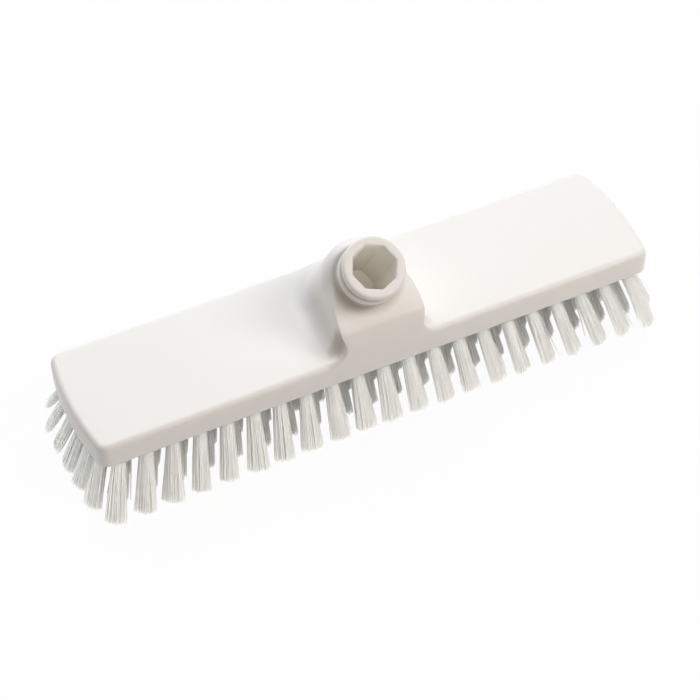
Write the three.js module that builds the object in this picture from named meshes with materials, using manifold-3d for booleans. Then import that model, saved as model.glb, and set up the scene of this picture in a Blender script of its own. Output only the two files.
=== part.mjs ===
// Floor scrub brush: a moulded block with a leaning handle socket, and staple-set bristles.
// Millimetres, Z up. X runs along the block and the socket leans towards -Y, the front.
// The origin is on the floor under the middle of the brush, so the bristle tips stand on z = 0.

import * as THREE from 'three';
import { mergeVertices } from 'three/addons/utils/BufferGeometryUtils.js';
import Module from 'manifold-3d';

const wasm = await Module();
wasm.setup();

// Block
const blockLength = 304;
const blockWidth = 69.8;
const blockHeight = 13.5;
const endBow = 3.8;
const cornerRadius = 4.8;
const topEdgeRadius = 3.2;

// Neck, measured from the block's underside and from its middle
const mouthHeight = 58;
const mouthForward = 22.9;
const neckElevation = 57;
const neckRadius = 21.5;
const hoodDepth = 18;
const hoodRound = 6;
const rampSlope = 42;
const chinHeight = 27;
const chinRound = 5;
const flareRadius = 8;
const scoopWidth = 9;
const scoopLength = 15;

// Collar and socket
const collarRadius = 14.4;
const lipRadius = 15.6;
const lipWidth = 4.2;
const ringRadius = 15.5;
const ringDepth = 10.4;
const ringWidth = 6.2;
const socketAcrossFlats = 21;
const socketDepth = 44;
const socketChamfer = 0.8;

// Bristles
const bristleReach = 30;
const rowCount = 7;
const outerTuftCount = 21;
const sideMargin = 5.5;
const endMargin = 14;
const innerEndMargin = 9.6;
const holeDiameter = 6;
const strandsPerTuft = 3;
const strandWidth = 2;
const tipSpread = 3.3;
const sideFan = 14;
const cornerFan = 10.5;
const endFan = 4.5;

// The slice of the block that each field of bristles is fused to
const padThickness = 4;
const padWall = 2;

// Anchors
const anchorLength = 6.2;
const anchorHeight = 2;
const anchorThickness = 0.5;
const anchorWeb = 0.7;
const anchorCover = 2;

// Clearances
const padGap = 0.3;
const anchorGap = 0.3;

// Heights above the floor
const underside = bristleReach;
const blockTop = underside + blockHeight;
const padTop = underside + padThickness;
const neckFoot = padTop + anchorHeight + anchorCover;

// Spacing of the tufts over the underside
const rowPitch = (blockWidth - 2 * sideMargin) / (rowCount - 1);
const tuftPitch = (blockLength - 2 * endMargin) / (outerTuftCount - 1);

// Solid from a geometry, ready for joining and cutting.
// Coordinates are kept to a ten-thousandth, so that faces meant to be level with each other are.
function solid(geometry) {
  const bare = geometry.clone();
  bare.deleteAttribute('normal');
  bare.deleteAttribute('uv');
  const coordinates = bare.attributes.position.array;
  coordinates.forEach((value, i) => {
    coordinates[i] = Math.round(value * 1e4) / 1e4;
  });
  const merged = mergeVertices(bare, 1e-4);
  return new wasm.Manifold(new wasm.Mesh({
    numProp: 3,
    vertProperties: new Float32Array(merged.attributes.position.array),
    triVerts: new Uint32Array(merged.index.array),
  }));
}

// Geometry from a finished solid
function geometryOf(body) {
  const mesh = body.getMesh();
  const geometry = new THREE.BufferGeometry();
  geometry.setAttribute('position', new THREE.Float32BufferAttribute(mesh.vertProperties, 3));
  geometry.setIndex(new THREE.Uint32BufferAttribute(mesh.triVerts, 1));
  geometry.computeVertexNormals();
  return geometry;
}

// Closed geometry through rings of points, both ends capped. Every ring has as many points,
// which run anticlockwise as seen from the last ring's side.
function loft(rings) {
  const count = rings[0].length;
  const position = rings.flat().flatMap((p) => [p.x, p.y, p.z]);
  const index = [];
  for (let i = 0; i + 1 < rings.length; i += 1) {
    for (let j = 0; j < count; j += 1) {
      const a = i * count + j;
      const b = i * count + (j + 1) % count;
      index.push(a, b, a + count, b, b + count, a + count);
    }
  }
  const last = (rings.length - 1) * count;
  for (let j = 1; j + 1 < count; j += 1) {
    index.push(0, j + 1, j);
    index.push(last, last + j, last + j + 1);
  }
  const geometry = new THREE.BufferGeometry();
  geometry.setAttribute('position', new THREE.Float32BufferAttribute(position, 3));
  geometry.setIndex(index);
  return geometry;
}

// Box between two corners
function boxBetween(low, high) {
  const size = new THREE.Vector3().subVectors(high, low);
  const middle = new THREE.Vector3().addVectors(low, high).multiplyScalar(0.5);
  const box = new THREE.BoxGeometry(size.x, size.y, size.z);
  return solid(box.translate(middle.x, middle.y, middle.z));
}

// Plan outline of the block, drawn in by an inset: straight sides, round corners and bowed ends
function planOutline(inset) {
  const halfLength = blockLength / 2 - inset;
  const halfWidth = blockWidth / 2 - inset;
  const corner = Math.max(cornerRadius - inset, 0.5);
  const cornerX = halfLength - endBow;
  const shape = new THREE.Shape();
  shape.moveTo(-cornerX + corner, -halfWidth);
  shape.lineTo(cornerX - corner, -halfWidth);
  shape.quadraticCurveTo(cornerX, -halfWidth, cornerX + 0.25 * endBow, -halfWidth + corner);
  shape.quadraticCurveTo(halfLength + 0.75 * endBow, 0, cornerX + 0.25 * endBow, halfWidth - corner);
  shape.quadraticCurveTo(cornerX, halfWidth, cornerX - corner, halfWidth);
  shape.lineTo(-cornerX + corner, halfWidth);
  shape.quadraticCurveTo(-cornerX, halfWidth, -cornerX - 0.25 * endBow, halfWidth - corner);
  shape.quadraticCurveTo(-halfLength - 0.75 * endBow, 0, -cornerX - 0.25 * endBow, -halfWidth + corner);
  shape.quadraticCurveTo(-cornerX, -halfWidth, -cornerX + corner, -halfWidth);
  return shape;
}

// Flat plate of that outline between two heights
function plate(inset, low, high) {
  const geometry = new THREE.ExtrudeGeometry(planOutline(inset), {
    depth: high - low,
    bevelEnabled: false,
    curveSegments: 8,
  });
  return solid(geometry.translate(0, 0, low));
}

// Block body: the outline with a round top edge, cut level at the underside
function blockBody() {
  const geometry = new THREE.ExtrudeGeometry(planOutline(topEdgeRadius), {
    depth: blockHeight,
    bevelThickness: topEdgeRadius,
    bevelSize: topEdgeRadius,
    bevelSegments: 4,
    curveSegments: 8,
  });
  geometry.translate(0, 0, underside - topEdgeRadius);
  const below = boxBetween(
    new THREE.Vector3(-blockLength, -blockWidth, underside - 3 * topEdgeRadius),
    new THREE.Vector3(blockLength, blockWidth, underside),
  );
  return solid(geometry).subtract(below);
}

// The handle's axis: it leaves the mouth upwards and forwards
const tilt = THREE.MathUtils.degToRad(neckElevation);
const mouth = new THREE.Vector3(0, -mouthForward, underside + mouthHeight);
const outward = new THREE.Vector3(0, -Math.cos(tilt), Math.sin(tilt));
const upBack = new THREE.Vector3(0, Math.sin(tilt), Math.cos(tilt));
const axisFrame = new THREE.Matrix4()
  .makeBasis(new THREE.Vector3(1, 0, 0), upBack, outward)
  .setPosition(mouth);

// Neck body: an arch around the handle's axis with straight cheeks below it
function neckArch() {
  const drop = mouthHeight + blockWidth;
  const length = mouthHeight / Math.sin(tilt) + neckRadius / Math.tan(tilt);
  const inner = neckRadius - hoodRound;
  const arch = new THREE.Shape();
  arch.moveTo(-inner, -drop);
  arch.lineTo(inner, -drop);
  arch.lineTo(inner, 0);
  arch.absarc(0, 0, inner, 0, Math.PI, false);
  arch.lineTo(-inner, -drop);
  const geometry = new THREE.ExtrudeGeometry(arch, {
    depth: length,
    bevelThickness: hoodRound,
    bevelSize: hoodRound,
    bevelSegments: 4,
    curveSegments: 14,
  });
  geometry.translate(0, 0, -length - hoodDepth - hoodRound);
  return solid(geometry.applyMatrix4(axisFrame));
}

// Side view of the neck: upright chin level with the block's front, then the sloping ramp
function neckSide() {
  const front = -blockWidth / 2;
  const chin = underside + chinHeight;
  const slope = Math.tan(THREE.MathUtils.degToRad(rampSlope));
  const side = new THREE.Shape();
  side.moveTo(front, neckFoot);
  side.lineTo(blockWidth / 2 - topEdgeRadius, neckFoot);
  side.lineTo(blockWidth / 2 - topEdgeRadius, chin + slope * (blockWidth - topEdgeRadius));
  side.lineTo(front + chinRound, chin + slope * chinRound);
  side.quadraticCurveTo(front, chin, front, chin - chinRound);
  side.lineTo(front, neckFoot);
  const geometry = new THREE.ExtrudeGeometry(side, {
    depth: 4 * neckRadius,
    bevelEnabled: false,
    curveSegments: 5,
  });
  geometry.translate(0, 0, -2 * neckRadius);
  const along = new THREE.Matrix4().makeBasis(
    new THREE.Vector3(0, 1, 0),
    new THREE.Vector3(0, 0, 1),
    new THREE.Vector3(1, 0, 0),
  );
  return solid(geometry.applyMatrix4(along));
}

// Foot of the neck: both cheeks sweep out into the block's top in a hollow curve
function neckFlare() {
  const axisBack = -mouthForward + (mouthHeight - blockHeight) / Math.tan(tilt);
  const front = -blockWidth / 2;
  const rings = [];
  const stations = [];
  for (let i = 0; i <= 5; i += 1) {
    const angle = (i / 5) * Math.PI / 2;
    const out = i < 5 ? flareRadius * (1 - Math.sin(angle)) : -1;
    stations.push([neckRadius + out, flareRadius * (1 - Math.cos(angle))]);
  }
  const across = [
    ...stations.map(([x, rise]) => [-x, rise]),
    ...stations.map(([x, rise]) => [x, rise]).reverse(),
  ];
  for (const [x, rise] of across) {
    const top = blockTop + rise;
    const ring = [new THREE.Vector3(x, axisBack, neckFoot), new THREE.Vector3(x, front, neckFoot)];
    for (let j = 0; j <= 4; j += 1) {
      const angle = (j / 4) * Math.PI / 2;
      const y = front + topEdgeRadius * (1 - Math.cos(angle));
      const z = top - topEdgeRadius * (1 - Math.sin(angle));
      ring.push(new THREE.Vector3(x, y, z));
    }
    ring.push(new THREE.Vector3(x, axisBack, top));
    rings.push(ring.reverse());
  }
  return solid(loft(rings));
}

// The same hollow curve round the back of the neck, where the leaning arch meets the block's top
function neckHeel() {
  const rings = [];
  for (let i = 0; i <= 6; i += 1) {
    const rise = i === 0 ? -topEdgeRadius / 2 : ((i - 1) / 5) * flareRadius;
    const above = Math.max(rise, 0);
    const out = flareRadius - Math.sqrt(flareRadius ** 2 - (flareRadius - above) ** 2) - 0.2;
    const centre = -mouthForward + (mouthHeight - blockHeight - above) / Math.tan(tilt);
    const deep = Math.min(neckRadius / Math.sin(tilt) + out, blockWidth / 2 - topEdgeRadius / 2 - centre);
    const ring = [];
    for (let j = 0; j <= 14; j += 1) {
      const angle = (j / 14) * Math.PI;
      const x = (neckRadius + out) * Math.cos(angle);
      ring.push(new THREE.Vector3(x, centre + deep * Math.sin(angle), blockTop + rise));
    }
    rings.push(ring);
  }
  return solid(loft(rings));
}

// Shallow scoop beside the chin on each cheek
function scoop(side) {
  const geometry = new THREE.SphereGeometry(1, 12, 8);
  geometry.scale(scoopWidth / 2, scoopWidth / 2, scoopLength / 2);
  geometry.rotateY(side * -0.2);
  geometry.translate(
    side * (neckRadius + 0.3 * scoopWidth),
    -blockWidth / 2 + 0.65 * scoopWidth,
    blockTop + 0.55 * scoopLength,
  );
  return solid(geometry);
}

// Collar with a rolled lip at the mouth and a ring behind it
function collar() {
  const base = -hoodDepth - neckRadius / 2;
  const bead = (depth, width, radius) => [
    [collarRadius, -depth - width / 2],
    [radius - 0.3 * (radius - collarRadius), -depth - 0.42 * width],
    [radius, -depth - 0.2 * width],
    [radius, -depth + 0.2 * width],
    [radius - 0.3 * (radius - collarRadius), -depth + 0.42 * width],
    [collarRadius, -depth + width / 2],
  ];
  const profile = [
    [0, base],
    [collarRadius, base],
    ...bead(ringDepth, ringWidth, ringRadius),
    [collarRadius, -lipWidth],
    [lipRadius, -0.8 * lipWidth],
    [lipRadius, -0.25 * lipWidth],
    [lipRadius - 0.25 * lipWidth, 0],
    [0, 0],
  ];
  const points = profile.map(([radius, along]) => new THREE.Vector2(radius, along));
  const geometry = new THREE.LatheGeometry(points, 40, Math.PI / 40);
  return solid(geometry.rotateX(Math.PI / 2).applyMatrix4(axisFrame));
}

// Eight-sided socket with corners to the left and right, and a chamfered mouth
function socket() {
  const radius = socketAcrossFlats / 2 / Math.cos(Math.PI / 8);
  const past = 2;
  const rings = [
    [-socketDepth, radius],
    [-socketChamfer, radius],
    [past, radius + socketChamfer + past],
  ].map(([along, size]) => {
    const ring = [];
    for (let i = 0; i < 8; i += 1) {
      const angle = (i / 8) * 2 * Math.PI;
      ring.push(new THREE.Vector3(size * Math.cos(angle), size * Math.sin(angle), along));
    }
    return ring;
  });
  return solid(loft(rings).applyMatrix4(axisFrame));
}

// Where the tufts stand. The rows are staggered by half a pitch, and fan out towards every side.
// Between the outer two rows, the last tufts of all rows stand in one line along the block's end.
const outermostRow = (rowCount - 1) / 2;
const fieldHalf = outerTuftCount / 2 * tuftPitch;

function tuftsOfRow(row) {
  const staggered = row % 2 === 1;
  const count = staggered ? outerTuftCount + 1 : outerTuftCount;
  const rowPlace = (row - outermostRow) / outermostRow;
  const tufts = [];
  for (let i = 0; i < count; i += 1) {
    const step = i - (count - 1) / 2;
    const inLine = Math.abs(rowPlace) < 1 && (i === 0 || i === count - 1);
    const x = inLine ? Math.sign(step) * (blockLength / 2 - innerEndMargin) : step * tuftPitch;
    const place = x / fieldHalf;
    const root = new THREE.Vector3(x, (row - outermostRow) * rowPitch, underside);
    const outX = cornerFan * place + endFan * (1 - rowPlace ** 2) * place ** 5;
    const outY = sideFan * rowPlace;
    tufts.push({ root, lean: new THREE.Vector3(outX, outY, -bristleReach).divideScalar(bristleReach) });
  }
  return tufts;
}

// A tuft's centre line at a height, in the block or below it
function onTuft(tuft, height) {
  return tuft.root.clone().addScaledVector(tuft.lean, underside - height);
}

// Three-sided strands of one row, from inside the slice down to the floor, cut level at z = 0
function strandsOfRow(row) {
  const position = [];
  const index = [];
  const rootSpread = (holeDiameter - strandWidth) / 2;
  const start = underside + padThickness / 2;
  const lead = row < outermostRow ? -Math.PI / 2 : Math.PI / 2;
  for (const tuft of tuftsOfRow(row)) {
    for (let s = 0; s < strandsPerTuft; s += 1) {
      const angle = lead + (2 * Math.PI * s) / strandsPerTuft;
      const first = position.length / 3;
      for (const [height, spread] of [[0, tipSpread], [start, rootSpread]]) {
        const centre = onTuft(tuft, height);
        centre.x += spread * Math.cos(angle);
        centre.y += spread * Math.sin(angle);
        for (let c = 0; c < 3; c += 1) {
          const turn = angle + (2 * Math.PI * c) / 3;
          position.push(
            centre.x + 0.577 * strandWidth * Math.cos(turn),
            centre.y + 0.577 * strandWidth * Math.sin(turn),
            height,
          );
        }
      }
      const [a, b, c, d, e, f] = [0, 1, 2, 3, 4, 5].map((k) => first + k);
      index.push(a, c, b, d, e, f);
      index.push(a, b, d, b, e, d, b, c, e, c, f, e, c, a, f, a, d, f);
    }
  }
  const geometry = new THREE.BufferGeometry();
  geometry.setAttribute('position', new THREE.Float32BufferAttribute(position, 3));
  geometry.setIndex(index);
  return solid(geometry);
}

// A field of bristles: some neighbouring rows and the slice of the block that they stand in
function bristleField(firstRow, lastRow) {
  const edgeOf = (row) => (row - outermostRow) * rowPitch;
  const low = firstRow === 0 ? -blockWidth : edgeOf(firstRow - 0.5) + padGap / 2;
  const high = lastRow === rowCount - 1 ? blockWidth : edgeOf(lastRow + 0.5) - padGap / 2;
  let field = plate(padWall + padGap, underside, padTop).intersect(boxBetween(
    new THREE.Vector3(-blockLength, low, underside - 1),
    new THREE.Vector3(blockLength, high, padTop + 1),
  ));
  for (let row = firstRow; row <= lastRow; row += 1) {
    field = field.add(strandsOfRow(row));
  }
  return geometryOf(field);
}

// The staples of one row, joined by a thin web: they lie on the slice, across the feet of the tufts
function anchorCentres(row) {
  return tuftsOfRow(row).map((tuft) => onTuft(tuft, padTop));
}

function anchorRow(row) {
  const centres = anchorCentres(row);
  const half = anchorLength / 2;
  const comb = new THREE.Shape();
  comb.moveTo(centres[0].x - half, 0);
  comb.lineTo(centres[centres.length - 1].x + half, 0);
  for (const centre of [...centres].reverse()) {
    if (centre !== centres[centres.length - 1]) comb.lineTo(centre.x + half, anchorWeb);
    comb.lineTo(centre.x + half, anchorHeight);
    comb.lineTo(centre.x - half, anchorHeight);
    if (centre !== centres[0]) comb.lineTo(centre.x - half, anchorWeb);
  }
  const geometry = new THREE.ExtrudeGeometry(comb, { depth: anchorThickness, bevelEnabled: false });
  geometry.rotateX(Math.PI / 2);
  return geometry.translate(0, centres[0].y + anchorThickness / 2, padTop);
}

// Room for one row of staples in the block
function anchorGroove(row) {
  const centres = anchorCentres(row);
  const reach = anchorLength / 2 + anchorGap;
  const halfWidth = anchorThickness / 2 + anchorGap;
  return boxBetween(
    new THREE.Vector3(centres[0].x - reach, centres[0].y - halfWidth, underside + 1),
    new THREE.Vector3(
      centres[centres.length - 1].x + reach,
      centres[0].y + halfWidth,
      padTop + anchorHeight + anchorGap,
    ),
  );
}

// The whole moulding
function brushBlock() {
  let body = blockBody().subtract(plate(padWall, underside - 1, padTop));
  for (let row = 0; row < rowCount; row += 1) body = body.subtract(anchorGroove(row));
  body = body.add(neckFlare()).add(neckHeel());
  body = body.add(neckArch().intersect(neckSide())).add(collar());
  body = body.subtract(scoop(-1)).subtract(scoop(1)).subtract(socket());
  return geometryOf(body);
}

// Materials
const plastic = () => new THREE.MeshStandardMaterial({ color: 0xf1f0ec, roughness: 0.38, metalness: 0 });
const filament = () => new THREE.MeshStandardMaterial({ color: 0xe4e6de, roughness: 0.5, metalness: 0 });
const staple = () => new THREE.MeshStandardMaterial({ color: 0xb9bbbd, roughness: 0.35, metalness: 1 });

// Assembly
const brush = new THREE.Group();

function place(name, geometry, material) {
  const mesh = new THREE.Mesh(geometry, material);
  mesh.name = name;
  brush.add(mesh);
}

place('brush_block', brushBlock(), plastic());
place('front_bristles', bristleField(0, 1), filament());
place('middle_bristles', bristleField(2, rowCount - 3), filament());
place('back_bristles', bristleField(rowCount - 2, rowCount - 1), filament());
for (let row = 0; row < rowCount; row += 1) {
  place(`anchor_row_${row + 1}`, anchorRow(row), staple());
}

export default brush;
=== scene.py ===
# %% [markdown]
# # A floor scrub brush
# This head for wet floors is one thick plastic moulding with a leaning socket for a broom handle.
# Under it stand 150 tufts of stiff filament, each one folded over a steel staple in its own hole.
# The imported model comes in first, because it fixes every place and size. What follows only dresses it.

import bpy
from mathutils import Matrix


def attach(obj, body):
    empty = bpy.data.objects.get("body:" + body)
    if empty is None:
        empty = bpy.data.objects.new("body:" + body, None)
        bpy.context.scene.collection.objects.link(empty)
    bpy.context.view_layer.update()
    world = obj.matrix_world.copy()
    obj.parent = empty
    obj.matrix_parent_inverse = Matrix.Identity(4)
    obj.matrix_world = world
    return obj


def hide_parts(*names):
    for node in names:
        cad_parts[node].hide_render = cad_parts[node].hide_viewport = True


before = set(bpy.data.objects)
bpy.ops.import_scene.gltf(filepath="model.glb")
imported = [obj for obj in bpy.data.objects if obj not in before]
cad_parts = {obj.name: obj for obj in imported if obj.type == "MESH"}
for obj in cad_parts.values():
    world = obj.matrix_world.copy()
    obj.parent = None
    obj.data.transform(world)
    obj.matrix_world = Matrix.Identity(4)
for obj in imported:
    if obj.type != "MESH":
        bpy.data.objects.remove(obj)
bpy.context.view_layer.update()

# %% [markdown]
# ## Units and names
# Blender works in metres, but a brush is easier to think about in millimetres. So every size below is
# in millimetres, and one factor turns points into metres when a mesh is made. X runs along the block,
# the socket leans towards -Y, which is the front, and the bristle tips stand on z = 0.

# %% Imports and units
import math

import bpy
import numpy as np
from mathutils import Matrix, Vector

MM = 0.001
scene = bpy.context.scene
print("CAD nodes:", ", ".join(sorted(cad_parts)))

# %% [markdown]
# ## The camera
# The picture is taken from the front left and from above, at about 47 degrees, with a long lens that
# keeps the two ends of the block nearly parallel. A camera can be aimed with a Track To constraint, but
# a constraint can't hold the slight roll of a hand-held shot. Here the camera's three axes are written
# down and put into its matrix, so that the lens, place and roll are all plain numbers.

# %% Camera
camera_place = Vector((-315.4, -670.4, 803.0)) * MM
looks_along = Vector((0.2880, 0.6182, -0.7313)).normalized()
right_hand = Vector((0.9004, -0.4348, -0.0130))
right_hand = (right_hand - looks_along * right_hand.dot(looks_along)).normalized()
head_up = right_hand.cross(looks_along)

camera_data = bpy.data.cameras.new("camera")
camera_data.sensor_width = 36.0
camera_data.lens = 110.2
camera = bpy.data.objects.new("camera", camera_data)
camera.matrix_world = Matrix.Translation(camera_place) @ Matrix(
    (right_hand, head_up, -looks_along)).transposed().to_4x4()
scene.collection.objects.link(camera)
scene.camera = camera
print("camera elevation in degrees:", round(math.degrees(math.asin(-looks_along.z)), 1))

# %% [markdown]
# ## How the moulding is shaped
# The block and its neck flow into each other through soft hollows, as plastic does in a mould. Bevels and
# subdivision can make one such hollow, but here several of different sizes meet in one corner.
# A distance field handles that well: each simple form is a function that says how far a point lies outside
# it, and two functions are joined with a round hollow, or trimmed with a round edge, by a line of maths.

# %% Round joins and round edges
def join(a, b, radius):
    """Distance to two forms together, with a hollow of that radius between them."""
    near_both = np.hypot(np.maximum(radius - a, 0), np.maximum(radius - b, 0))
    return np.maximum(radius, np.minimum(a, b)) - near_both


def trim(a, b, radius):
    """Distance to what two forms share, with a round edge of that radius."""
    past_both = np.hypot(np.maximum(radius + a, 0), np.maximum(radius + b, 0))
    return np.minimum(-radius, np.maximum(a, b)) + past_both


print("two walls that meet, 1 mm inside both:", round(float(trim(np.array(-1.0), np.array(-1.0), 4.0)), 2))

# %% [markdown]
# ## The block
# Seen from above, the block is a long bar with round corners and ends that bow out a little. Its top is
# very slightly crowned, so that water runs off. The plan is the overlap of two forms, a wide strip and a
# lens of two large arcs, so its corners are one more round edge.

# %% Plan of the block
block_length, block_width = 304.0, 69.8
underside, block_top = 30.0, 43.5
end_bow, corner_round, crown_drop = 3.8, 4.8, 0.3
end_radius = ((block_width / 2) ** 2 + end_bow ** 2) / (2 * end_bow)


def block_plan(x, y):
    ends = np.hypot(np.abs(x) + end_radius - block_length / 2, y) - end_radius
    return trim(ends, np.abs(y) - block_width / 2, corner_round)


def block_crown(y):
    return block_top - crown_drop * (2 * y / block_width) ** 2


print("radius of the bowed ends in mm:", round(end_radius, 1))

# %% [markdown]
# ## The neck
# The neck is an arch wrapped around the handle's axis, with flat cheeks below it that widen downwards, so
# that the mould lets go of them. A sloping ramp cuts it off towards the front, and runs down to a chin that
# is level with the block's front face. The edge that the hood makes is soft on top and crisp along the
# cheeks. All of it is written in the handle's own directions: out of the mouth, and square to that, up
# and back.

# %% Neck form
mouth_y, mouth_z = -22.9, 88.0
tilt = math.radians(57.0)
neck_radius, cheek_draft, hood_depth, hood_round = 21.0, 0.085, 18.0, 6.0
ramp_slope, chin_z, ridge_round = math.radians(42.0), 57.0, 1.2
soft_from, soft_span = -12.0, 16.0


def handle_axes(y, z):
    """How far a point lies out of the mouth, and how far above the handle's axis."""
    out = (z - mouth_z) * math.sin(tilt) - (y - mouth_y) * math.cos(tilt)
    above = (z - mouth_z) * math.cos(tilt) + (y - mouth_y) * math.sin(tilt)
    return out, above


def neck_form(x, y, z):
    out, above = handle_axes(y, z)
    arch = np.hypot(x, np.maximum(above, 0)) - neck_radius + cheek_draft * np.minimum(above, 0)
    softness = np.clip((above - soft_from) / soft_span, 0, 1)
    softer = (hood_round - ridge_round) * softness ** 2 * (3 - 2 * softness)
    hooded = trim(arch, out + hood_depth, ridge_round + softer)
    ramp = (z - chin_z) * math.cos(ramp_slope) - (y + block_width / 2) * math.sin(ramp_slope)
    return trim(hooded, ramp, ridge_round)


print("neck reaches", round(mouth_z - hood_depth * math.sin(tilt), 1), "mm above the floor on its axis")

# %% [markdown]
# ## The collar
# A short round collar leaves the neck around the socket. It has a rolled lip at the mouth, and a ring
# behind that which stiffens it. A lathe of a drawn profile would do, but then its foot would need a
# hollow modelled by hand. As a form of the same field it gets that hollow with the join.

# %% Collar form
collar_radius, collar_middle, collar_half = 14.4, -16.0, 15.0
lip_bead = {"middle": -2.1, "width": 4.2, "radius": 15.6, "roll": 1.3}
ring_bead = {"middle": -10.4, "width": 6.2, "radius": 15.5, "roll": 1.0}
bead_hollow = 0.6


def bead(around, out, middle, width, radius, roll):
    """A band around the collar with rolled edges."""
    return trim(around - radius, np.abs(out - middle) - width / 2, roll)


def collar_form(x, y, z):
    out, above = handle_axes(y, z)
    around = np.hypot(x, above)
    tube = np.maximum(around - collar_radius, np.abs(out - collar_middle) - collar_half)
    lipped = join(tube, bead(around, out, **lip_bead), bead_hollow)
    return join(lipped, bead(around, out, **ring_bead), bead_hollow)


print("collar is", 2 * collar_radius, "mm across")

# %% [markdown]
# ## The scoops beside the chin
# Where each cheek meets the front, the mould has a thumb-sized scoop that eases the corner. It is a leaning
# egg shape taken out of the body. Its distance is only roughly right away from the surface, but the surface
# itself, where the distance is zero, is exact, and the mesh needs no more.

# %% Scoop form
scoop_middle, scoop_half = (23.7, -29.6, 50.9), (4.5, 4.5, 7.5)
scoop_lean = math.radians(15.0)


def scoop_form(x, y, z):
    dx, dy, dz = np.abs(x) - scoop_middle[0], y - scoop_middle[1], z - scoop_middle[2]
    across = dx * math.cos(scoop_lean) + dz * math.sin(scoop_lean)
    upward = dz * math.cos(scoop_lean) - dx * math.sin(scoop_lean)
    size = np.sqrt(
        (across / scoop_half[0]) ** 2 + (dy / scoop_half[1]) ** 2 + (upward / scoop_half[2]) ** 2)
    return (size - 1.0) * min(scoop_half)


print("scoops are", 2 * scoop_half[2], "mm long")

# %% [markdown]
# ## The whole moulding
# The order of the steps matters. The neck first grows out of an endless flat top, with a hollow of 8 mm.
# Only then does the plan trim both at once, so that the chin lies in one plane with the block's front and
# shares its round edge. The collar comes after that, since its lip hangs a little over the front, and the
# scoops and the flat underside are cut last.

# %% Distance field of the moulding
foot_hollow, collar_hollow = 8.0, 1.4
top_edge, scoop_edge, bottom_edge = 3.2, 2.4, 0.8


def moulding(x, y, z):
    rising = join(z - block_crown(y), neck_form(x, y, z), foot_hollow)
    body = trim(rising, block_plan(x, y), top_edge)
    body = join(body, collar_form(x, y, z), collar_hollow)
    body = trim(body, -scoop_form(x, y, z), scoop_edge)
    return trim(body, underside - z, bottom_edge)


in_the_block = np.array([80.0, 0.0, 37.0])
print("a point in the block lies", round(-float(moulding(*in_the_block)), 2), "mm deep")

# %% [markdown]
# ## From a field to a mesh
# Blender's own way from a field to a mesh is a volume and Volume to Mesh, which uses one cell size
# everywhere. This block is long and mostly straight, so a grid with fine cells only at the neck, the edges
# and the ends does better. Surface nets put one point in each cell that the surface crosses, and a quad
# around each grid edge that it cuts. A last step slides every point onto the surface itself.

# %% Grid lines
def spaced(*stops):
    """Grid lines from (from, to, step) spans."""
    spans = [np.linspace(a, b, max(2, round((b - a) / step) + 1)) for a, b, step in stops]
    return np.unique(np.round(np.concatenate(spans), 5))


half_x = spaced((0, 36, 0.7), (36, 140, 3.4), (140, 145, 1.2), (145, 153.2, 0.5))
grid_x = np.concatenate([-half_x[:0:-1], half_x])
half_y = spaced((0, 29.0, 0.8), (29.0, 36.4, 0.5))
grid_y = np.concatenate([-half_y[:0:-1], half_y])
grid_z = spaced((29.3, 32, 0.4), (32, 38, 1.2), (38, 45, 0.5), (45, 98, 0.75))
print("grid lines:", len(grid_x), len(grid_y), len(grid_z))

# %% Surface nets
def surface_net(distance, lines):
    """Points and quads of the surface where a distance field is zero."""
    field = distance(*np.meshgrid(*lines, indexing="ij"))
    inside = field < 0
    cells = tuple(n - 1 for n in field.shape)
    total, hits = np.zeros(cells + (3,)), np.zeros(cells)
    crossings = []
    for axis in range(3):
        low = np.take(inside, range(cells[axis]), axis)
        high = np.take(inside, range(1, cells[axis] + 1), axis)
        cut = np.argwhere(low != high)
        far = cut.copy()
        far[:, axis] += 1
        a, b = field[tuple(cut.T)], field[tuple(far.T)]
        point = np.stack([lines[k][cut[:, k]] for k in range(3)], 1)
        point[:, axis] += a / (a - b) * (lines[axis][far[:, axis]] - lines[axis][cut[:, axis]])
        u, v = (axis + 1) % 3, (axis + 2) % 3
        corners = []
        for step_u, step_v in ((1, 1), (0, 1), (0, 0), (1, 0)):
            cell = cut.copy()
            cell[:, u] -= step_u
            cell[:, v] -= step_v
            np.add.at(total, tuple(cell.T), point)
            np.add.at(hits, tuple(cell.T), 1)
            corners.append(cell)
        crossings.append((corners, a < 0))
    number = np.full(cells, -1)
    used = hits > 0
    number[used] = np.arange(used.sum())
    points = total[used] / hits[used][:, None]
    quads = []
    for corners, leaving in crossings:
        quad = np.stack([number[tuple(cell.T)] for cell in corners], 1)
        quads.append(np.where(leaving[:, None], quad, quad[:, ::-1]))
    return points, np.concatenate(quads)


def slope_of(distance, points, reach=0.05):
    """Steepest direction of a field at some points."""
    columns = []
    for axis in range(3):
        step = np.zeros(3)
        step[axis] = reach
        columns.append((distance(*(points + step).T) - distance(*(points - step).T)) / (2 * reach))
    return np.stack(columns, 1)


def settle(distance, points, rounds=4, least_slope=0.05, longest=0.4):
    """Slides points onto the surface of a field."""
    for _ in range(rounds):
        slope = slope_of(distance, points)
        steepness = np.maximum((slope ** 2).sum(1), least_slope)
        steps = distance(*points.T)[:, None] * slope / steepness[:, None]
        points = points - np.clip(steps, -longest, longest)
    return points


shell_points, shell_quads = surface_net(moulding, (grid_x, grid_y, grid_z))
shell_points = settle(moulding, shell_points)
print("moulding:", len(shell_points), "points, off the surface by at most",
      round(float(np.abs(moulding(*shell_points.T)).max()), 3), "mm")

# %% A mesh object from points and faces
def new_piece(name, points, faces):
    mesh = bpy.data.meshes.new(name)
    mesh.from_pydata((np.asarray(points) * MM).tolist(), [], faces)
    mesh.update()
    piece = bpy.data.objects.new(name, mesh)
    scene.collection.objects.link(piece)
    return piece


block = new_piece("moulded_block", shell_points, shell_quads.tolist())
print("moulded_block:", len(block.data.polygons), "faces")

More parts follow.
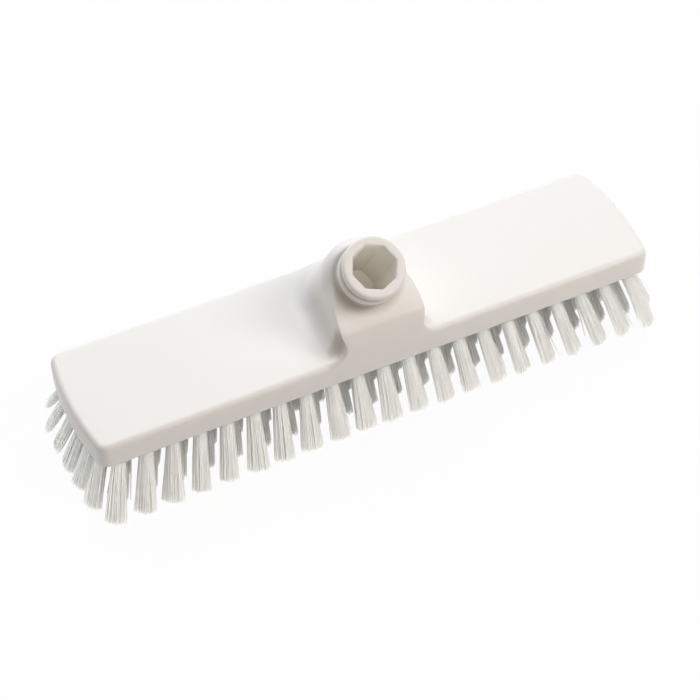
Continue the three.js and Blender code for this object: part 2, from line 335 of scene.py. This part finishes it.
# %% [markdown]
# ## The socket
# The handle goes into an eight-sided blind hole with crisp corners, which a field on a grid would blur.
# So it is cut with a Boolean, by a tool that is a stack of eight-sided rings. Two short rings at the
# mouth give the rim a small round edge that catches the light.

# %% Tools from stacked rings
def stacked(rings):
    """Points and faces of a closed body through rings of points, given from one end to the other."""
    count = len(rings[0])
    faces = [list(range(count))[::-1]]
    for level in range(len(rings) - 1):
        first = level * count
        for side in range(count):
            after = (side + 1) % count
            faces.append([first + side, first + after, first + count + after, first + count + side])
    faces.append([(len(rings) - 1) * count + side for side in range(count)])
    return np.concatenate(rings), faces


socket_flats, socket_depth = 21.0, 44.0
corner_reach = socket_flats / 2 / math.cos(math.pi / 8)
corner_turn = np.arange(8) * math.pi / 4
socket_profile = ((-socket_depth, -0.5), (-0.9, 0.0), (-0.35, 0.25), (0.0, 0.8), (2.0, 3.2))


def socket_ring(out, wider):
    """Eight points so far out of the mouth, on a ring that is so much wider than the socket."""
    size = corner_reach + wider
    x, above = size * np.cos(corner_turn), size * np.sin(corner_turn)
    y = mouth_y - out * math.cos(tilt) + above * math.sin(tilt)
    z = mouth_z + out * math.sin(tilt) + above * math.cos(tilt)
    return np.stack([x, y, z], 1)


socket_tool = new_piece("socket_tool", *stacked([socket_ring(*level) for level in socket_profile]))
print("socket:", socket_flats, "mm across flats,", socket_depth, "mm deep")

# %% [markdown]
# ## Where the tufts stand
# Seven rows run along the underside, and every second row is shifted by half a step. At the ends, the last
# tufts of the inner rows stand in one line. The holes are drilled at a slant, so the tufts fan out on every
# side and scrub beyond the block. The numbers are the CAD model's own, because the holes, the staples and
# the tufts all have to agree with it.

# %% Tuft places
row_count, outer_tufts = 7, 21
side_margin, end_margin, inner_end_margin = 5.5, 14.0, 9.6
row_pitch = (block_width - 2 * side_margin) / (row_count - 1)
tuft_pitch = (block_length - 2 * end_margin) / (outer_tufts - 1)
middle_row, end_line = (row_count - 1) / 2, block_length / 2 - inner_end_margin
side_fan, corner_fan, end_fan = 14.0, 10.5, 4.5


def tufts_of_row(row):
    """Roots on the underside and sideways lean for each millimetre down, for one row of tufts."""
    shifted = row % 2 == 1
    count = outer_tufts + 1 if shifted else outer_tufts
    x = (np.arange(count) - (count - 1) / 2) * tuft_pitch
    row_place = (row - middle_row) / middle_row
    if abs(row_place) < 1:
        x[[0, -1]] = -end_line, end_line
    place = x / (outer_tufts / 2 * tuft_pitch)
    root = np.stack([x, np.full(count, (row - middle_row) * row_pitch)], 1)
    fan_x = corner_fan * place + end_fan * (1 - row_place ** 2) * place ** 5
    lean = np.stack([fan_x, np.full(count, side_fan * row_place)], 1) / underside
    return root, lean


print("tufts in each row:", [len(tufts_of_row(row)[0]) for row in range(row_count)])

# %% [markdown]
# ## The drilled holes
# Each tuft sits in a slanted blind hole 7 mm wide, with a broken edge at its mouth. The 150 drills could
# each have a Boolean of their own, but as one mesh of separate closed bodies they cut in a single pass.

# %% Cut the socket and the holes
hole_radius, drill_sides = 3.5, 20
drill_turn = np.arange(drill_sides) * 2 * math.pi / drill_sides
drill_profile = ((28.5, 1.5), (29.5, 0.9), (30.4, 0.0), (37.5, 0.0))


def drill(root, lean):
    """A slanted drill: at each height of the profile, a ring that is so much wider than the hole."""
    rings = []
    for z, wider in drill_profile:
        middle, radius = root + lean * (underside - z), hole_radius + wider
        x, y = middle[0] + radius * np.cos(drill_turn), middle[1] + radius * np.sin(drill_turn)
        rings.append(np.stack([x, y, np.full(drill_sides, z)], 1))
    return stacked(rings)


drill_points, drill_faces, started = [], [], 0
for row in range(row_count):
    for root, lean in zip(*tufts_of_row(row)):
        points, faces = drill(root, lean)
        drill_points.append(points)
        drill_faces += [[corner + started for corner in face] for face in faces]
        started += len(points)
drill_tool = new_piece("drill_tool", np.concatenate(drill_points), drill_faces)

for tool in (socket_tool, drill_tool):
    cut = block.modifiers.new(tool.name, "BOOLEAN")
    cut.operation, cut.solver, cut.object = "DIFFERENCE", "MANIFOLD", tool
cut_mesh = bpy.data.meshes.new_from_object(block.evaluated_get(bpy.context.evaluated_depsgraph_get()))
block.modifiers.clear()
block.data = cut_mesh
for tool in (socket_tool, drill_tool):
    bpy.data.objects.remove(tool)
print("after drilling:", len(block.data.polygons), "faces")

# %% [markdown]
# ## Smooth shading and a map of the hollows
# Smooth shading must stop at the socket's and the holes' edges, so edges sharper than 35 degrees are marked.
# The field also tells how closed-in each point is: 5 mm out from an open face the distance is 5 mm, and in a
# hollow it is less. That number is kept on the points, so that shade can be painted into the plastic's colour
# in the hollows.

# %% Shade the block
feel_reach, wall_margin, rim_margin = 5.0, 0.1, 0.2
block.data.shade_smooth()
block.data.set_sharp_from_angle(angle=math.radians(35.0))


def keep_on_points(mesh, name, values):
    layer = mesh.attributes.new(name, "FLOAT", "POINT")
    layer.data.foreach_set("value", np.asarray(values, dtype=np.float32))


corners = np.empty(len(block.data.vertices) * 3, dtype=np.float32)
block.data.vertices.foreach_get("co", corners)
corners = corners.reshape(-1, 3).astype(float) / MM
outwards = slope_of(moulding, corners)
outwards /= np.maximum(np.linalg.norm(outwards, axis=1), 1e-6)[:, None]
# Openness sets how much shade is painted into the plastic's colour: less openness, darker paint.
openness = np.clip(moulding(*(corners + feel_reach * outwards).T) / feel_reach, 0, 1)
out, above = handle_axes(corners[:, 1], corners[:, 2])
# The socket's walls get no painted shade. The painted lighter cream takes its place there.
in_socket = (np.hypot(corners[:, 0], above) < corner_reach + wall_margin) & (out < -rim_margin)
openness[in_socket] = 1.0
keep_on_points(block.data, "openness", openness)
keep_on_points(block.data, "in_socket", in_socket)
print("openness from", round(float(openness.min()), 2), "to", round(float(openness.max()), 2))

# %% [markdown]
# ## The tufts
# Hair curves would draw the filaments, but a part in a library needs real meshes, so each filament is a thin
# three-sided tube, closed at both ends. Filaments are packed in the hole like seeds in a sunflower. The slant
# of the hole flattens the tuft, so towards the floor it opens into a fan that stands across its lean.
# Every filament bends in its own way, the tips are cut a little unevenly, and a few strays stand out. The
# random numbers have a fixed seed, so the brush is the same each time.

# %% Filaments of some rows
filaments_per_tuft, filament_radius = 140, 0.36
tube_sides, upper_stations = 3, (-3.4, 3.0, 16.0)
fan_spread, fan_pinch, fan_power, spread_vary = 1.7, 0.7, 1.2, 0.12
tip_scatter, tuft_scatter, bow_scatter, uneven_cut = 0.2, 0.25, 0.2, 0.9
stray_share, stray_scatter, stray_short = 0.02, 1.4, 1.5
tube_turn = np.arange(tube_sides) * 2 * math.pi / tube_sides
chance = np.random.default_rng(20)


def filaments(root, lean):
    """Centre lines of one tuft's filaments: filament, station, then x, y, z."""
    count = filaments_per_tuft
    turn = np.arange(count) * math.pi * (3 - math.sqrt(5)) + chance.uniform(0, 2 * math.pi)
    reach = (hole_radius - filament_radius) * np.sqrt((np.arange(count) + 0.5) / count)
    at_root = np.stack([np.cos(turn), np.sin(turn)], 1) * reach[:, None]
    along_fan = np.array((-lean[1], lean[0])) / max(np.hypot(*lean), 1e-6)
    fan_part = (at_root @ along_fan)[:, None] * along_fan
    at_tip = fan_part * (fan_spread + chance.normal(0, spread_vary)) + (at_root - fan_part) * fan_pinch
    at_tip += chance.normal(0, tip_scatter, (count, 2)) + chance.normal(0, tuft_scatter, 2)
    stray = chance.random(count) < stray_share
    at_tip[stray] += chance.normal(0, stray_scatter, (stray.sum(), 2))
    tip_z = np.abs(chance.normal(0, uneven_cut, count))
    tip_z[stray] += chance.uniform(0, stray_short, stray.sum())
    bow = chance.normal(0, bow_scatter, (count, 2))
    below = np.concatenate([np.full((count, 3), upper_stations), (underside - tip_z)[:, None]], 1)
    part = np.clip(below / underside, 0, 1)[:, :, None]
    flat = (root + lean * below[:, :, None] + at_root[:, None] * (1 - part ** fan_power)
            + at_tip[:, None] * part ** fan_power + bow[:, None] * np.sin(math.pi * part))
    return np.concatenate([flat, (underside - below)[:, :, None]], 2)


def tuft_rows(name, rows):
    """One mesh of every filament in some rows."""
    lines = np.concatenate([
        filaments(root, lean) for row in rows for root, lean in zip(*tufts_of_row(row))])
    strands, stations = lines.shape[:2]
    circle = filament_radius * np.stack([np.cos(tube_turn), np.sin(tube_turn), 0 * tube_turn], 1)
    points = (lines[:, :, None] + circle).reshape(-1, 3)
    first = np.arange(strands)[:, None, None] * stations * tube_sides
    ring = np.arange(stations - 1)[None, :, None] * tube_sides
    side, after = np.arange(tube_sides)[None, None], (np.arange(tube_sides) + 1) % tube_sides
    a, b = first + ring + side, first + ring + after
    quads = np.stack([b, a, a + tube_sides, b + tube_sides], -1).reshape(-1, 4)
    top_cap = (first[:, 0] + np.arange(tube_sides)).reshape(-1, tube_sides)
    tip_cap = top_cap[:, ::-1] + (stations - 1) * tube_sides
    piece = new_piece(name, points, quads.tolist() + top_cap.tolist() + tip_cap.tolist())
    print(name + ":", strands, "filaments,", len(piece.data.polygons), "faces")
    return piece


front_tufts = tuft_rows("front_tufts", (0, 1))
middle_tufts = tuft_rows("middle_tufts", (2, 3, 4))
back_tufts = tuft_rows("back_tufts", (5, 6))

# %% [markdown]
# ## The staples
# A short piece of flat wire holds each tuft: it is driven into the hole across the fold, and its ends bite
# into the plastic. Nobody sees them in use, but they are what a tuft hangs on. Each is a box with its edges
# bevelled, which is what the wire looks like after it is rolled flat and cut.

# %% Staples of each row
import bmesh

staple_size = Vector((6.6, 0.5, 2.0))
staple_foot, staple_bevel = 34.0, 0.14


def staple_row(row):
    build = bmesh.new()
    for root, lean in zip(*tufts_of_row(row)):
        middle = root + lean * (underside - staple_foot)
        place = Vector((middle[0], middle[1], staple_foot + staple_size.z / 2)) * MM
        shape = Matrix.Translation(place) @ Matrix.Diagonal((*(staple_size * MM), 1.0))
        bmesh.ops.create_cube(build, size=1.0, matrix=shape)
    bmesh.ops.bevel(
        build, geom=build.edges[:], offset=staple_bevel * MM, segments=2, profile=0.5, affect="EDGES")
    mesh = bpy.data.meshes.new("staples_row_%d" % (row + 1))
    build.to_mesh(mesh)
    build.free()
    piece = bpy.data.objects.new(mesh.name, mesh)
    scene.collection.objects.link(piece)
    return piece


staples = [staple_row(row) for row in range(row_count)]
print("staples:", sum(len(tufts_of_row(row)[0]) for row in range(row_count)))

# %% [markdown]
# ## Writing materials as sums
# A material is a graph of nodes, and a graph is hard to read as code. The small class below stands for one
# socket in it. Adding or multiplying two of these adds a Math node, so a mask can be written as a formula.
# Every other kind of node comes from one method of the finish, which sets its options and then its inputs.

# %% A finish and its wires
class Wire:
    """One output socket of a finish. Sums of wires and numbers become Math nodes."""

    def __init__(self, finish, socket):
        self.finish, self.socket = finish, socket

    def math(self, operation, first, second):
        return self.finish.node("ShaderNodeMath", {"operation": operation}, {0: first, 1: second})

    def __add__(self, other):
        return self.math("ADD", self, other)

    def __radd__(self, other):
        return self.math("ADD", other, self)

    def __sub__(self, other):
        return self.math("SUBTRACT", self, other)

    def __rsub__(self, other):
        return self.math("SUBTRACT", other, self)

    def __mul__(self, other):
        return self.math("MULTIPLY", self, other)

    def __rmul__(self, other):
        return self.math("MULTIPLY", other, self)


class Finish:
    """A material under construction."""

    def __init__(self, name):
        self.material = bpy.data.materials.new(name)
        self.material.use_nodes = True
        self.tree = self.material.node_tree
        self.tree.nodes.clear()

    def node(self, kind, settings=None, inputs=None, output=0):
        made = self.tree.nodes.new(kind)
        for key, value in (settings or {}).items():
            setattr(made, key, value)
        for key, value in (inputs or {}).items():
            if isinstance(value, Wire):
                self.tree.links.new(value.socket, made.inputs[key])
            else:
                made.inputs[key].default_value = value
        return Wire(self, made.outputs[output]) if len(made.outputs) else made

    def mix(self, share, first, second):
        """A colour between two colours."""
        return self.node("ShaderNodeMix", {"data_type": "RGBA"}, {0: share, 6: first, 7: second}, 2)

    def noise(self, where, scale, detail=2.0):
        return self.node("ShaderNodeTexNoise", {}, {"Vector": where, "Scale": scale, "Detail": detail})

    def place(self):
        """Where a point lies on the object itself."""
        return self.node("ShaderNodeTexCoord", output="Object")

    def end(self, shader):
        self.node("ShaderNodeOutputMaterial", {}, {"Surface": shader})
        return self.material


print("finishes are built from wires")

# %% [markdown]
# ## White moulded plastic
# The block is a warm white polypropylene with a soft gloss. Up close it is not even: the melt leaves broad,
# faint clouds in the colour and the gloss, and the mould's polish leaves a fine grain. Shade is painted into
# the colour in the hollows: the map of the hollows makes them darker and yellower, in place of light that
# has bounced many times off the warm plastic. A render follows only a few bounces, and a deep socket needs
# many, so light is painted onto its walls as a lighter cream.

# %% Plastic of the block
plastic = Finish("white_moulded_plastic")
spot = plastic.place()
clouds = plastic.noise(spot, 22.0, 3.0)
grain = plastic.noise(spot, 900.0, 2.0)
ripple = plastic.noise(spot, 120.0, 2.0)
open_share = plastic.node("ShaderNodeAttribute", {"attribute_name": "openness"}, output="Fac")
unshaded_tone = plastic.mix(clouds, (0.775, 0.755, 0.725, 1.0), (0.815, 0.797, 0.770, 1.0))
# Painted shade: the hollows, by the openness map, get a darker, yellower colour in place of shadowed, bounced
# light.
shade = plastic.mix(open_share, (0.500, 0.455, 0.385, 1.0), unshaded_tone)
bore_share = plastic.node("ShaderNodeAttribute", {"attribute_name": "in_socket"}, output="Fac")
# Painted light: the socket's walls get a lighter cream in place of the bounced light that a render misses.
shade = plastic.mix(bore_share, shade, (0.960, 0.945, 0.885, 1.0))
relief = plastic.node("ShaderNodeBump", {}, {
    "Strength": 0.12, "Distance": 0.0004, "Height": grain * 0.35 + ripple * 0.65})
plastic_material = plastic.end(plastic.node("ShaderNodeBsdfPrincipled", {}, {
    "Base Color": shade, "Roughness": 0.32 + 0.14 * clouds + 0.05 * grain, "Normal": relief,
    "IOR": 1.49, "Subsurface Weight": 0.12, "Subsurface Radius": (1.0, 0.85, 0.6),
    "Subsurface Scale": 0.006}))
print("plastic nodes:", len(plastic.tree.nodes))

# %% [markdown]
# ## Filament
# The bristles are a stiff white polyester. Each filament is drawn through a die, so it is smooth, and it is
# milky rather than solid white: most light goes in and comes out on the far side. So a Translucent shader has
# the larger share, and the Principled one adds the sheen. No two filaments are quite the same shade, which
# Random Per Island gives for free because every filament is its own island. The cut tips are a little frayed
# and whiter than the sides.

# %% Filament finish
bristle = Finish("milky_filament")
spot = bristle.place()
own_shade = bristle.node("ShaderNodeNewGeometry", {}, {}, "Random Per Island")
height = bristle.node("ShaderNodeSeparateXYZ", {}, {0: spot}, "Z")
streaks = bristle.noise(spot, 260.0, 2.0)
near_tip = bristle.node("ShaderNodeMapRange", {"clamp": True}, {
    "Value": height, "From Min": 0.010, "From Max": 0.0, "To Min": 0.0, "To Max": 1.0})
body = bristle.mix(own_shade, (0.970, 0.975, 0.968, 1.0), (0.993, 0.995, 0.992, 1.0))
body = bristle.mix(streaks * 0.35, body, (0.985, 0.987, 0.980, 1.0))
tone = bristle.mix(near_tip * 0.5, body, (0.990, 0.992, 0.988, 1.0))
outer = bristle.node("ShaderNodeBsdfPrincipled", {}, {
    "Base Color": tone, "Roughness": 0.34 + 0.16 * streaks + 0.12 * near_tip, "IOR": 1.53})
inner = bristle.node("ShaderNodeBsdfTranslucent", {}, {"Color": (0.995, 0.995, 0.985, 1.0)})
bristle_material = bristle.end(bristle.node("ShaderNodeMixShader", {}, {0: 0.92, 1: outer, 2: inner}))
print("filament nodes:", len(bristle.tree.nodes))

# %% [markdown]
# ## Staple wire
# The wire is tinned steel, drawn and then rolled flat, so fine lines run along it. Noise that is stretched
# along the wire gives the lines, and a second, slower noise gives the patchy tin.

# %% Steel of the staples
steel = Finish("tinned_staple_wire")
spot = steel.place()
drawn = steel.node("ShaderNodeMapping", {}, {"Vector": spot, "Scale": (300.0, 9000.0, 9000.0)})
lines = steel.noise(drawn, 1.0, 2.0)
patches = steel.noise(spot, 700.0, 2.0)
tin = steel.mix(patches, (0.56, 0.57, 0.58, 1.0), (0.70, 0.70, 0.69, 1.0))
scratch = steel.node("ShaderNodeBump", {}, {"Strength": 0.3, "Distance": 0.00002, "Height": lines})
steel_material = steel.end(steel.node("ShaderNodeBsdfPrincipled", {}, {
    "Base Color": tin, "Metallic": 1.0, "Roughness": 0.26 + 0.2 * lines, "Normal": scratch}))
print("steel nodes:", len(steel.tree.nodes))

# %% [markdown]
# ## Putting the pieces on the model
# Nothing on this brush moves against anything else, so every piece rides on the one body. Each piece also
# hides the CAD solid it stands for, and wears one of the finishes made above.

# %% Ride and replace
tuft_pieces = {"front_bristles": front_tufts, "middle_bristles": middle_tufts, "back_bristles": back_tufts}
block.data.materials.clear()
block.data.materials.append(plastic_material)
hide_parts("brush_block")
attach(block, "root")
for node, piece in tuft_pieces.items():
    piece.data.materials.append(bristle_material)
    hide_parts(node)
    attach(piece, "root")
for row, piece in enumerate(staples):
    piece.data.materials.append(steel_material)
    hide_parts("anchor_row_%d" % (row + 1))
    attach(piece, "root")
print("pieces:", 1 + len(tuft_pieces) + len(staples))

# %% [markdown]
# ## Table
# The brush lies on a white table. A lit plane would come out grey or need more light on the brush. Light Path
# tells a material which kind of ray asks: to the camera, and in reflections, the table is mostly a plain
# white, and only a trace of shadow stays. To all other rays it is white paint, so that the brush gets real
# light back from it. The table lies a hair below the tips, so that no faces coincide.

# %% Floor
floor_half, floor_gap, white_share = 6.0, 0.0002, 0.95


def background_rays(finish):
    """1 or more for a ray that sees the background itself: from the camera, mirrored or let through."""
    seen, mirrored, passed = (finish.node("ShaderNodeLightPath", {}, {}, "Is %s Ray" % kind)
                              for kind in ("Camera", "Glossy", "Transmission"))
    return seen + mirrored + passed


floor_corners = [(floor_half * x, floor_half * y, 0) for x, y in ((-1, -1), (1, -1), (1, 1), (-1, 1))]
floor_mesh = bpy.data.meshes.new("floor")
floor_mesh.from_pydata(floor_corners, [], [(0, 1, 2, 3)])
floor = bpy.data.objects.new("floor", floor_mesh)
floor.location.z = -floor_gap
scene.collection.objects.link(floor)

paper = Finish("white_table")
matt = paper.node("ShaderNodeBsdfDiffuse", {}, {"Color": (0.88, 0.88, 0.88, 1.0)})
white = paper.node("ShaderNodeEmission", {}, {"Color": (1.0, 1.0, 1.0, 1.0), "Strength": 1.0})
floor_mesh.materials.append(paper.end(paper.node("ShaderNodeMixShader", {}, {
    0: background_rays(paper) * white_share, 1: matt, 2: white})))
print("floor at", floor.location.z, "m")

# %% [markdown]
# ## Room and lamps
# The widest lamp hangs above and behind, and the room is bright on that side too, so the top is the lightest
# face and the front the darkest. A lamp from the right and a warm one from the front keep the front and the
# socket open. An image of a studio could light the brush as well, but three lamps and one formula are easier
# to change. The world's nodes are built in the same way as a finish.

# %% Room
world = bpy.data.worlds.new("white_room")
scene.world = world
world.use_nodes = True
world.node_tree.nodes.clear()


class Room(Finish):
    """The world under construction."""

    def __init__(self, world):
        self.tree = world.node_tree


room = Room(world)
direct = room.node("ShaderNodeMath", {"operation": "MINIMUM"}, {0: background_rays(room), 1: 1.0})
towards = room.node("ShaderNodeTexCoord", output="Generated")
back = room.node("ShaderNodeSeparateXYZ", {}, {0: towards}, "Y")
level = room.node("ShaderNodeMath", {"operation": "MAXIMUM"}, {0: 1.36 * back, 1: 0.02})
tint = room.mix(direct, (1.0, 0.92, 0.89, 1.0), (1.0, 1.0, 1.0, 1.0))
room.node("ShaderNodeOutputWorld", {}, {"Surface": room.node("ShaderNodeBackground", {}, {
    "Color": tint, "Strength": level * (1 - direct) + direct})})
print("room nodes:", len(room.tree.nodes))

# %% Lamps
lamps_aim = Vector((0, 0, 0.04))


def softbox(name, place, size, power, colour):
    data = bpy.data.lights.new(name, "AREA")
    data.shape, data.size, data.energy, data.color = "DISK", size, power, colour
    lamp = bpy.data.objects.new(name, data)
    lamp.location = place
    lamp.rotation_euler = (lamps_aim - Vector(place)).to_track_quat("-Z", "Y").to_euler()
    scene.collection.objects.link(lamp)


softbox("back_lamp", (0.12, 0.95, 1.15), 1.6, 12.8, (0.88, 1.02, 1.11))
softbox("right_lamp", (0.80, -0.70, 1.10), 0.6, 8.2, (1.02, 0.98, 0.97))
softbox("front_lamp", (0.14, -0.92, 1.20), 0.9, 5.3, (1.12, 0.95, 0.82))
scene.view_settings.view_transform = "Standard"
print("lamps:", len(bpy.data.lights))

# %% [markdown]
# The last line brings the view layer up to date.

# %% Finish
bpy.context.view_layer.update()
